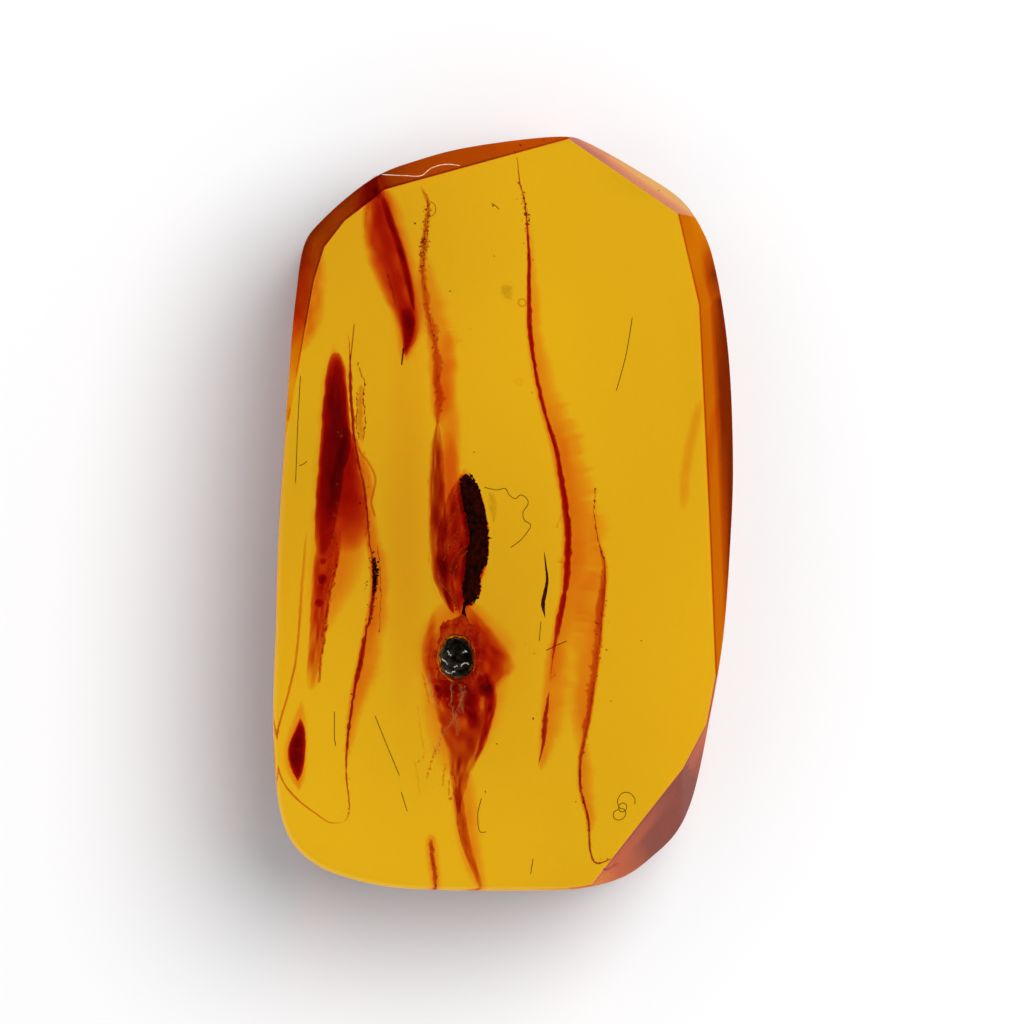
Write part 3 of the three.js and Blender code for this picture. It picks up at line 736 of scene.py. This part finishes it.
def pit():
    """What lines the pit: a black shaft of debris, a tan crust round its mouth and stained resin about it."""
    centre = at(*PIT)
    shaft = [(0, 1.84), (0.42, 1.8), (0.6, 1.2), (0.645, 0.7), (0.66, 0.3), (0.63, 0.28), (0.58, 0.7),
             (0.52, 1.2), (0.35, 1.6), (0, 1.66)]

    def lining(column, row):
        radius, depth = shaft[row]
        rim = pit_rim(2 * math.pi * column / 48)
        rough = 1 + 0.12 * noise.noise(rim * 3 + Vector((0, 0, depth * 2)))
        return centre + rim * radius * rough * MM - Vector((0, 0, depth * MM))

    new_piece("pit_lining", bent_grid(48, len(shaft) - 1, lining), FINISH["shaft"])

    def crust(column, row):
        heading = 2 * math.pi * column / 240
        rim = pit_rim(heading)
        ragged = 0.16 * noise.noise(rim * 3) + 0.1 * noise.noise(rim * 8) + 0.03 * noise.noise(rim * 20)
        crown = 0.4 * max(0, math.sin(heading + 0.25)) ** 2 * (1 + 0.4 * noise.noise(rim * 4))
        outer = 0.9 + ragged + crown
        inner = 0.74 + 0.03 * noise.noise(rim * 6 + Vector((0, 0, 4)))
        turn = 2 * math.pi * row / 12
        radius = (outer + inner) / 2 + (outer - inner) / 2 * math.cos(turn)
        lump = 1 + 0.9 * noise.noise(rim * 7 + Vector((0, 0, turn)))
        return centre + rim * radius * MM - Vector((0, 0, (0.32 - 0.12 * lump * math.sin(turn)) * MM))

    new_piece("pit_crust", bent_grid(240, 12, crust), FINISH["crust"])
    patch("pit_stain", "umber", [(-2.3, -4.2), (-2.9, -4.9), (-3.1, -5.7), (-3, -6.5), (-2.7, -7.2)],
          [(-1.4, -4.2), (-0.8, -4.9), (-0.6, -5.7), (-0.8, -6.5), (-1.1, -7.2)], [0.2, 0.28, 0.3, 0.24],
          2.6, soft=1.0, grain=1.2)
    patch("pit_right_lobe", "pocket",
          [(-1.64, -3.65), (-1.48, -4.6), (-1.4, -5.5), (-1.32, -6.2), (-1.16, -7.3)],
          [(-1.16, -3.65), (-0.52, -4.4), (-0.04, -5), (0.44, -5.7), (0.56, -6.1), (0.04, -6.7),
           (-0.52, -7.3)], [0.08, 0.2, 0.3, 0.36, 0.34, 0.25, 0.12], 2.2, soft=1.6, grain=0.9)
    patch("pit_left_lobe", "pocket",
          [(-2.84, -3.8), (-3.1, -4.5), (-3.3, -5.3), (-3.24, -6.1), (-2.9, -7), (-2.76, -7.6)],
          [(-2.6, -3.8), (-2.6, -4.5), (-2.6, -5.3), (-2.6, -6.1), (-2.4, -7), (-2.4, -7.6)],
          [0.05, 0.14, 0.2, 0.18, 0.1], 2.2, soft=1.6, grain=0.9)
    patch("pit_glow", "halo",
          [(-2.32, -3.2), (-3.16, -4), (-3.64, -5.2), (-3.4, -6.8), (-3.16, -8.6), (-2.68, -10.4)],
          [(-1.12, -3.2), (-0.32, -4), (0.6, -5.2), (0.36, -6.6), (-0.12, -8.6), (-1.32, -10.4)],
          [0.3, 0.45, 0.5, 0.4, 0.2], 3.2, soft=1.2)
    patch("drapery", "umber",
          [(-2.92, -6.3), (-2.8, -7.2), (-2.64, -8), (-2.44, -8.8), (-2.2, -9.6), (-2.12, -10.4),
           (-1.96, -11.2), (-1.84, -12)],
          [(-0.24, -6.3), (-0.24, -7.2), (-0.4, -8), (-0.64, -8.9), (-0.96, -9.7), (-1.28, -10.4),
           (-1.56, -11.2), (-1.72, -12)], [0.3, 0.42, 0.42, 0.36, 0.32, 0.3, 0.26], 2.2, soft=0.7,
          grain=1.8)
    patch("drapery_fold", "pocket",
          [(-1, -6.3), (-0.84, -7), (-0.76, -7.8), (-0.84, -8.5), (-1.04, -9.25), (-1.24, -9.8)],
          [(-0.4, -6.3), (-0.24, -6.9), (-0.24, -7.7), (-0.44, -8.4), (-0.7, -9.2), (-1, -9.8)],
          [0.3, 0.5, 0.5, 0.4, 0.2], 2.0, soft=1.4, grain=1.1)
    patch("drapery_shade", "pocket", [(-1.8, -6.8), (-1.7, -7.5), (-1.5, -8), (-1.4, -8.6)],
          [(-0.9, -6.8), (-0.84, -7.5), (-0.9, -8), (-1.1, -8.6)], [0.25, 0.45, 0.4, 0.15], 1.8, soft=1.2,
          grain=1.3)
    patch("drapery_hollow", "pocket", [(-2.9, -6.4), (-2.8, -6.9), (-2.6, -7.3), (-2.4, -7.7)],
          [(-1.7, -6.6), (-1.7, -7), (-1.8, -7.4), (-2.1, -7.8)], [0.2, 0.4, 0.35, 0.15], 1.9, soft=1.0,
          grain=1.3)
    clots = (((-0.92, -6.5), 0.22), ((-0.84, -6.95), 0.3), ((-2.64, -6.9), 0.2), ((-2.48, -7.2), 0.16),
             ((-0.56, -6.9), 0.26), ((-0.6, -5), 0.12))
    for number, (spot, size) in enumerate(clots):
        blob("drapery_clot_%d" % number, "pocket", (*spot, 1.5), size, size * 1.6)
    patch("drapery_tail", "umber",
          [(-2.08, -10.8), (-1.96, -11.6), (-1.84, -12.4), (-1.64, -13.2), (-1.36, -13.9), (-1.08, -14.5),
           (-0.84, -14.95)],
          [(-1.6, -10.8), (-1.52, -11.6), (-1.4, -12.4), (-1.24, -13.2), (-1.04, -13.9), (-0.88, -14.5),
           (-0.76, -14.95)], [0.2, 0.25, 0.25, 0.22, 0.2], 1.8, soft=0.6, grain=0.9)
    patch("drapery_tail_halo", "halo",
          [(-2.24, -10.2), (-2.12, -11.6), (-1.96, -12.8), (-1.64, -14), (-1.08, -15.05)],
          [(-1, -10.2), (-0.92, -11.6), (-0.84, -12.8), (-0.68, -14), (-0.52, -15.05)],
          [0.2, 0.3, 0.3, 0.2], 2.6, soft=1.3)
    strand("drapery_grit", "thread",
           [(-2.04, -10.6), (-1.84, -11.6), (-1.76, -12.5), (-1.52, -13.4), (-1.24, -14.1),
            (-0.92, -14.85)], 0.018, 0.06, 1.3, 91)
    streaks = ([(-2.68, -9.3), (-2.84, -9.8), (-3.04, -10.5)], [(-2.28, -9.9), (-2.36, -10.3), (-2.4, -10.8)],
               [(-3.2, -6.3), (-3.04, -7), (-2.92, -7.5)], [(-2.04, -10.2), (-2.16, -10.8), (-2.12, -11.4)],
               [(-2.12, -10.2), (-1.92, -10.45), (-1.84, -10.8), (-1.96, -11.1), (-2.12, -11.4)])
    for number, line in enumerate(streaks):
        strand("drapery_streak_%d" % number, "pocket", line, 0.05, 0.05, 1.5, 92 + number)
    cracks = ([(-2.04, -6.65), (-2.04, -7.1), (-2.08, -7.5), (-1.96, -7.9), (-2.04, -8.25), (-2.28, -8.5),
               (-2.48, -8.9), (-2.68, -9.5)], [(-1.68, -6.7), (-1.64, -7.2), (-1.76, -7.6), (-1.88, -8)],
              [(-1.48, -6.8), (-1.64, -7.4), (-1.6, -7.9)], [(-1.96, -7.9), (-1.84, -8.3), (-1.8, -8.8)],
              [(-2.96, -6.3), (-2.88, -6.9), (-2.76, -7.4), (-2.6, -7.65)])
    for number, line in enumerate(cracks):
        strand("pit_crack_%d" % number, "pale", line, 0.013, 0.12, 0.5, 101 + number)
        strand("pit_crack_twin_%d" % number, "pale", line, 0.009, 0.3, 0.6, 151 + number)
        specks("pit_crack_crumbs_%d" % number, "pale",
               strewn(line, 12, 0.06, 0.5, (0.03, 0.08), 161 + number), seed=number)
    # Painted highlights: grey threads stand in for glints of light on broken surfaces in the pit.
    glints = ([(-2.5, -5.75), (-2.35, -5.78), (-2.2, -5.95)], [(-1.7, -6.02), (-1.5, -5.88), (-1.35, -5.96)],
              [(-2.2, -5.4), (-2.12, -5.55), (-2.06, -5.6)], [(-1.62, -5.5), (-1.5, -5.42), (-1.42, -5.45)],
              [(-2.3, -6.2), (-2.1, -6.3), (-1.9, -6.2)], [(-1.95, -6.05), (-1.8, -6.0)])
    for number, line in enumerate(glints):
        strand("pit_glint_%d" % number, "glint", line, 0.03, 0.05, 0.4, 130 + number)
    strand("lower_left_wisp", "halo_thread",
           [(-3.4, -7.6), (-3.28, -8.6), (-3.16, -9.6), (-3.32, -9.8), (-3.52, -9.9)], 0.03, 0.03, 1.8, 111)
    strand("lower_left_line", "halo_thread", [(-3.52, -9.8), (-3.4, -10.4), (-3.32, -11.1)], 0.03, 0.03,
           1.8, 111)


def bottom_seam():
    route = [(-2.88, -12.9), (-2.8, -13.7), (-2.72, -14.3), (-2.68, -14.85)]
    stain("bottom_seam", "umber", route, 0.1, 0.1, 0.3, 1.4, wobble=0.9, soft=0.5)
    stain("bottom_seam_halo", "halo", [(-2.88, -12.7), (-2.8, -13.6), (-2.72, -14.3), (-2.64, -14.95)], 0.3,
          0.3, 0.25, 2.0)
    specks("bottom_seam_specks", "thread", strewn(route, 14, 0.06, 1.2, (0.05, 0.14), 15))


def corner_smear():
    """The slanting smear inside the right bevel and the red corner at top left."""
    stain("corner_smear", "halo", [(7.88, 4.6), (7.64, 3.6), (7.4, 2.6), (7.24, 1.4), (7.2, 0.2)], 0.25,
          0.3, 0.15, 3.0, soft=1.4)
    blob("red_corner", "pocket", (-4.95, 12.75, 1.0), 0.22, 0.3)
    patch("corner_feather", "halo", [(-8.04, 10.8), (-8.2, 9.4), (-8.32, 8.1), (-8.4, 6.6)],
          [(-7, 10.8), (-7, 9.2), (-7.16, 7.7), (-7.8, 6.4)], [0.2, 0.4, 0.45, 0.2], 2.0, soft=1.4,
          grain=0.9)


def flow_band():
    """A band of slightly warmer resin that runs along the slab, left of its middle."""
    patch("left_flow", "halo",
          [(-4.3, 12.6), (-4.5, 8.6), (-4.75, 3.8), (-4.85, -1), (-4.75, -5), (-4.6, -8.2)],
          [(-3.15, 12.6), (-3.15, 8.6), (-2.85, 3.8), (-2.85, -1), (-3.15, -5), (-3.65, -8.2)],
          [0.02, 0.04, 0.05, 0.06, 0.05, 0.02], 4.0, soft=1.2)


def bubbles():
    """Two rings of painted shade where bubbles show dark rims, an olive flake and a few specks near the
    window.
    """
    # Painted shade: these rings of stained resin stand in for the dark rims of two small bubbles.
    ring("bubble_rim_shade", "pocket", (0.76, 8.45, 0.8), 0.15, 0.04)
    ring("faint_bubble_rim_shade", "halo_thread", (0.64, 5.3, 0.8), 0.12, 0.025)
    patch("olive_flake", "olive", [(-0.1, 9.2), (-0.1, 8.9), (0, 8.65)],
          [(0.4, 9.15), (0.4, 8.9), (0.35, 8.55)], 0.16, 0.6, soft=0.5, grain=1.2)
    fibre("olive_flake_edge", "olive",
          deep([(-0.15, 9.25), (0.4, 9.15), (0.4, 8.75), (0.25, 8.5), (0, 8.6), (-0.1, 8.9)], 0.5), 0.03,
          30)
    large = ((-2.1, 8.9), (-3.5, 11.6), (-0.7, -11), (1.2, -8.1), (-0.25, -9.1), (-0.4, 12.3))
    small = ((-1.15, 2.5), (0.9, -5.15), (1.25, -5.5), (-0.7, 14.3), (5.5, -5), (2.9, -11.4), (4.3, -7.4),
             (-1.3, 7.4), (-0.35, 10.3))
    spots = [(*spot, 0.06, 0.12) for spot in large] + [(*spot, 0.06, 0.09) for spot in small]
    specks("window_specks", "dust", spots, 15)
    specks("bevel_specks", "debris",
           [(0.7, 14.7, 0.3, 0.16), (1.65, 14.85, 0.5, 0.12), (6.15, 12.85, 0.9, 0.14)], 16)


def dust():
    """Fibres, hairs and scratches: nearly all lie just under the window's surface."""
    lines = {"curly_fibre": [(-0.75, 1.1), (-0.25, 1), (0.1, 1.05), (0.25, 0.8), (0.5, 0.65), (0.7, 0.8),
                             (0.95, 0.65), (1, 0.45), (0.8, 0.1), (0.85, -0.2), (1.1, -0.4), (0.95, -0.7),
                             (0.7, -1), (0.3, -1.3)], "right_hair": [(5.15, 7.9), (4.9, 6.4), (4.5, 4.9)],
             "left_hair": [(-5.1, -7.95), (-4.6, -9.2), (-4.1, -10.4)],
             "short_hair": [(-4.05, -11), (-3.8, -11.8)],
             "loop_fibre": [(5.24, -11.52), (5.24, -11.28), (5, -11.04), (4.72, -11.08), (4.56, -11.36),
                            (4.64, -11.64), (4.84, -11.72), (4.88, -11.92), (4.68, -12.12), (4.44, -12.08),
                            (4.4, -11.84), (4.6, -11.7)],
             "loop_fibre_knot": [(4.6, -11.55), (4.76, -11.45), (4.92, -11.55), (4.86, -11.76),
                                 (4.68, -11.8), (4.58, -11.62)], "foot_mark": [(1.2, -13.65), (1.1, -14.3)],
             "angled_hair": [(-0.85, -11.25), (-1, -11.9), (-0.9, -12.6), (-0.65, -12.6)],
             "left_scratch": [(-8.1, 1.95), (-7.9, 2.05), (-7.8, 2.15)],
             "speck_hair": [(-0.45, 12.4), (-0.3, 12.3), (-0.15, 12.15)],
             "long_left_mark": [(-8.05, 5.6), (-8.15, 3.8), (-8.25, 1.2)],
             "lower_left_mark": [(-6.7, -7.8), (-6.7, -8.8), (-6.65, -9.2)],}
    for name, line in lines.items():
        fibre(name, "dust", deep(line, 0.03), 0.016, steps=10 * len(line))
    fibre("pale_scratch", "rib", deep([(1.7, -5.4), (2.1, -5.2), (2.55, -5)], 0.03), 0.02, steps=20)
    route = [(-4.85, 13.55, 0.555), (-3.9, 13.5, 0.285), (-3.25, 13.5, 0.13), (-2.85, 13.8, 0.295),
             (-2.3, 13.95, 0.295), (-1.7, 13.9, 0.11)]
    fibre("bevel_hair", "pale", route, 0.018, steps=60)


# ---- the slab ----

AROUND = 512  # points round the slab
EDGE_STEPS = 10  # round the shoulder and round the back's edge
WALL_STEPS = 8  # from the waist to the shoulder, and from the back's edge to the waist
BACK_SHARES = (0, 0.3, 0.6, 0.85, 0.95)  # rows on the resting face, from its middle out
BEVEL_ROWS = 36  # close rows on the window, where the bevels are ground
BEVEL_ROW_GAP = 0.0033  # between those rows, as a share of the way from the window's edge to the pit
WINDOW_SHARES = (0.13, 0.15, 0.2, 0.3, 0.45, 0.6, 0.75, 0.88, 0.96, 0.99, 1)  # the rows after them
PIT_ROWS = ((0.745, 0.02), (0.73, 0.1), (0.72, 0.25), (0.71, 0.4), (0.7, 0.8), (0.67, 1.2),
            (0.58, 1.6), (0.45, 1.85), (0.2, 1.9), (0, 1.9))  # radius and depth in millimetres
CLEAR_OF_PIT = 1.2 * MM  # there is no rind this close to the pit
SHARP_ANGLE = math.radians(12)  # edges sharper than this are not shaded smooth

# The red rind, in millimetres below the window.
RIND_START = 0.03  # it fades in down to here
RIM_REACH = 0.05  # a rim of extra rind is strongest this far down and gone at the window and at twice that
RIM_RIND = 0.3  # the most that the rim adds
RIM_NEEDS = 0.3  # it is there only where more rind than this is left by the window
LOWER_RIND = 0.38  # here the amount by the window begins to give way to the one lower down
LOWER_RIND_RUN = 0.25  # and it takes this long
RIND_FOOT = 0.3  # millimetres above the resting face, under which there is none


def waist_ring(count):
    """The waist's points, and the two amounts of rind at each."""
    stations = [inside(x, y) for x, y, *_ in WAIST]
    ring = spline(stations, count, closed=True)
    traits = []
    for point in ring:
        reach = sorted(((point - spot).length, station[2:]) for spot, station in zip(stations, WAIST))
        (near, here), (far, there) = reach[:2]
        traits.append([(a * far + b * near) / (near + far) for a, b in zip(here, there)])
    return ring, traits


def straight_in(ring):
    """The direction from each point of a clockwise ring straight into the slab."""
    chords = [ahead - behind for ahead, behind in zip(ring[1:] + ring[:1], ring[-1:] + ring[:-1])]
    return [Vector((chord.y, -chord.x, 0)).normalized() for chord in chords]


def grind_bevels(bm):
    """Scores the slab along each bevel and presses what stands outside of the bevel onto it."""
    for start, end, slope in BEVELS:
        foot = at(*start)
        run = (at(*end) - foot).normalized()
        tilt = math.radians(slope)
        normal = Vector((-run.y * math.sin(tilt), run.x * math.sin(tilt), math.cos(tilt)))
        every = [*bm.verts, *bm.edges, *bm.faces]
        bmesh.ops.bisect_plane(bm, geom=every, dist=WELD, plane_co=foot, plane_no=normal)
        for vert in bm.verts:
            vert.co -= normal * max(0, (vert.co - foot).dot(normal))
    bmesh.ops.dissolve_degenerate(bm, edges=bm.edges, dist=WELD)


def colour_rind(bm, waist, traits):
    """Stores how much red rind each point has. There is none on the window, by the back or by the pit."""
    hole = at(*PIT)
    layer = bm.verts.layers.float.new("rind")
    compass = sorted((math.atan2(p.y, p.x), *trait) for p, trait in zip(waist, traits))
    for vert in bm.verts:
        heading = math.atan2(vert.co.y, vert.co.x)
        _, inner, outer = compass[bisect.bisect(compass, (heading,)) % AROUND]
        fall = (WINDOW - vert.co.z) / MM
        if (vert.co - hole).xy.length < CLEAR_OF_PIT:
            inner = outer = 0
        lower = max(0, min(1, (fall - LOWER_RIND) / LOWER_RIND_RUN))
        rim = RIM_RIND * max(0, 1 - abs(fall - RIM_REACH) / RIM_REACH) * (inner > RIM_NEEDS)
        amount = inner + (outer - inner) * lower + rim
        vert[layer] = amount * min(1, fall / RIND_START) * max(0, min(1, vert.co.z / MM - RIND_FOOT))


def amber_slab(material):
    """The whole slab as one skin: rows of points from the back, round the edges and down into the pit."""
    waist, traits = waist_ring(AROUND)
    inward = straight_in(waist)
    hole = at(*PIT)
    rows = []

    def inset(i, reach, z):
        return Vector((waist[i].x + inward[i].x * reach, waist[i].y + inward[i].y * reach, z))

    def back(share):
        reach = WALL_LEAN + BACK_RADIUS * (1 - math.cos(BACK_SWEEP))
        rows.append(lambda i: inset(i, reach, 0) * share)

    def lower_edge(angle):
        z = BACK_RADIUS * (math.sin(BACK_SWEEP) - math.sin(angle))
        reach = WALL_LEAN + BACK_RADIUS * (1 - math.cos(angle))
        rows.append(lambda i: inset(i, reach, z))

    def wall(z, far):
        reach = WALL_LEAN * ((z - WAIST_HEIGHT) / (far - WAIST_HEIGHT)) ** 2
        rows.append(lambda i: inset(i, reach, z))

    def shoulder(angle):
        z = SHOULDER_HEIGHT + (WINDOW - SHOULDER_HEIGHT) * math.sin(angle)
        rows.append(lambda i: inset(i, WALL_LEAN + SHOULDER_RUN * (1 - math.cos(angle)), z))

    def mouth(i, radius, z):
        away = waist[i] - hole
        heading = math.atan2(away.y, away.x)
        rim = pit_rim(heading)
        chip = 1 + 0.1 * noise.noise(rim * 2.3 + Vector((0, 0, z * 900)))
        return Vector((hole.x, hole.y, z)) + rim * radius * chip

    def window(share):
        def place(i):
            edge = inset(i, WALL_LEAN + SHOULDER_RUN, WINDOW)
            return edge.lerp(mouth(i, PIT_MOUTH_RADIUS, WINDOW), share)
        rows.append(place)

    def shaft(radius, depth):
        rows.append(lambda i: mouth(i, radius, WINDOW - depth))

    for share in BACK_SHARES:
        back(share)
    for step in range(EDGE_STEPS, 0, -1):
        lower_edge(BACK_SWEEP * step / EDGE_STEPS)
    foot = BACK_RADIUS * math.sin(BACK_SWEEP)
    for step in range(WALL_STEPS):
        wall(foot + (WAIST_HEIGHT - foot) * step / WALL_STEPS, foot)
    for step in range(WALL_STEPS):
        wall(WAIST_HEIGHT + (SHOULDER_HEIGHT - WAIST_HEIGHT) * step / WALL_STEPS, SHOULDER_HEIGHT)
    for step in range(EDGE_STEPS):
        shoulder(math.pi / 2 * step / EDGE_STEPS)
    for step in range(BEVEL_ROWS):
        window(BEVEL_ROW_GAP * step)
    for share in WINDOW_SHARES:
        window(share)
    for radius, depth in PIT_ROWS:
        shaft(radius * MM, depth * MM)
    bm = bent_grid(AROUND, len(rows) - 1, lambda column, row: rows[row](column % AROUND))
    grind_bevels(bm)
    colour_rind(bm, waist, traits)
    piece = new_piece("amber_slab", bm, material)
    piece.data.set_sharp_from_angle(angle=SHARP_ANGLE)
    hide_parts("amber")
    return piece


# ---- surroundings ----

# The sky, by the sine of the height above the horizon: dim low down, even above that, dim again overhead.
SKY_BANDS = ((0.12, 0.02), (0.3, 1.0), (0.99, 1.0), (0.998, 0.03))
SKY_GLOW = 0.56
KEY_POWER = 1.5
KEY_SIZE = 0.36
KEY_DISTANCE = 0.42
KEY_DIRECTION = Vector((0.41, 0.28, 0.86))
FLOOR_SIZE = 0.6
FLOOR_DROP = 0.03 * MM  # how far the floor lies below the resting face
PAD_DROP = 0.02 * MM  # how far the light pad lies below it
PAD_GLOW = 0.36
PAD_INSET = 0.1 * MM
PAD_POINTS = 128

# The camera looks straight down from far off.
LENS = 600
SENSOR_WIDTH = 36
SLAB_SHARE = 0.4492  # how much of the frame's width the slab takes up
CAMERA_SHIFT = (0.36 * MM, 0.12 * MM)  # the camera's place from the slab's middle


def stage_piece(name, bm, **values):
    """Turns a finished bmesh into a plain pale piece of the stage."""
    mesh = bpy.data.meshes.new(name)
    bm.to_mesh(mesh)
    bm.free()
    material, _, _ = principled(name, Base_Color=(0.9, 0.9, 0.9, 1), Roughness=0.9, **values)
    mesh.materials.append(material)
    obj = bpy.data.objects.new(name, mesh)
    bpy.context.scene.collection.objects.link(obj)


def floor():
    """A plain pale floor."""
    bm = bmesh.new()
    lower = Matrix.Translation((0, 0, -FLOOR_DROP))
    bmesh.ops.create_grid(bm, x_segments=1, y_segments=1, size=FLOOR_SIZE, matrix=lower)
    stage_piece("floor", bm, Specular_IOR_Level=0.0)


def light_pad():
    """A glowing pad under the slab, as amber is lit from below to show what is in it."""
    bm = bmesh.new()
    outline, _ = waist_ring(PAD_POINTS)
    edge = [point + inwards * PAD_INSET for point, inwards in zip(outline, straight_in(outline))]
    bm.faces.new([bm.verts.new((point.x, point.y, -PAD_DROP)) for point in reversed(edge)])
    bmesh.ops.recalc_face_normals(bm, faces=bm.faces)
    stage_piece("light_pad", bm, Emission_Color=(1, 1, 1, 1), Emission_Strength=PAD_GLOW)


def lights(slab):
    """An even sky, and a soft key that is kept off the slab."""
    world = bpy.data.worlds.new("studio")
    bpy.context.scene.world = world
    world.use_nodes = True
    tree = world.node_tree
    background = tree.nodes["Background"]
    direction = tree.nodes.new("ShaderNodeTexCoord")
    split = tree.nodes.new("ShaderNodeSeparateXYZ")
    ramp = tree.nodes.new("ShaderNodeValToRGB")
    tree.links.new(direction.outputs["Generated"], split.inputs["Vector"])
    tree.links.new(split.outputs["Z"], ramp.inputs["Fac"])
    glow = ramp.color_ramp
    for element, (height, shine) in zip(glow.elements, (SKY_BANDS[0], SKY_BANDS[-1])):
        element.position = height
        element.color = (shine, shine, shine, 1)
    for height, shine in SKY_BANDS[1:-1]:
        glow.elements.new(height).color = (shine, shine, shine, 1)
    tree.links.new(ramp.outputs["Color"], background.inputs["Color"])
    background.inputs["Strength"].default_value = SKY_GLOW

    data = bpy.data.lights.new("key", "AREA")
    data.shape = "DISK"
    data.size = KEY_SIZE
    data.energy = KEY_POWER
    key = bpy.data.objects.new("key", data)
    bpy.context.scene.collection.objects.link(key)
    key.location = KEY_DIRECTION.normalized() * KEY_DISTANCE
    key.rotation_euler = (-key.location).to_track_quat("-Z", "Y").to_euler()
    beyond_key = bpy.data.collections.new("beyond_key")
    beyond_key.objects.link(slab)
    key.light_linking.receiver_collection = beyond_key
    beyond_key.collection_objects[0].light_linking.link_state = "EXCLUDE"


def camera():
    """Looks straight down, from where the slab takes up its share of the frame's width."""
    data = bpy.data.cameras.new("camera")
    data.lens = LENS
    data.sensor_width = SENSOR_WIDTH
    seen_width = 2 * HALF_WIDTH / SLAB_SHARE
    distance = seen_width * LENS / SENSOR_WIDTH
    obj = bpy.data.objects.new("camera", data)
    bpy.context.scene.collection.objects.link(obj)
    obj.location = (*CAMERA_SHIFT, WAIST_HEIGHT + distance)
    bpy.context.scene.camera = obj


def light_paths():
    """Plain colours, and how often light may bounce or pass through a surface."""
    scene = bpy.context.scene
    scene.view_settings.view_transform = "Standard"
    scene.cycles.sample_clamp_indirect = 0
    scene.cycles.blur_glossy = 0
    scene.cycles.max_bounces = 18
    scene.cycles.transmission_bounces = 18
    scene.cycles.diffuse_bounces = 2
    scene.cycles.glossy_bounces = 4


camera()
floor()
light_paths()
slab = amber_slab(amber_material())
light_pad()
lights(slab)
for seal in (flow_band, centre_seam, sliver, right_seam, middle_seam, left_seam, red_pocket, teardrop,
             corner_wedge, insect, pit, bottom_seam, corner_smear, bubbles, dust):
    seal()
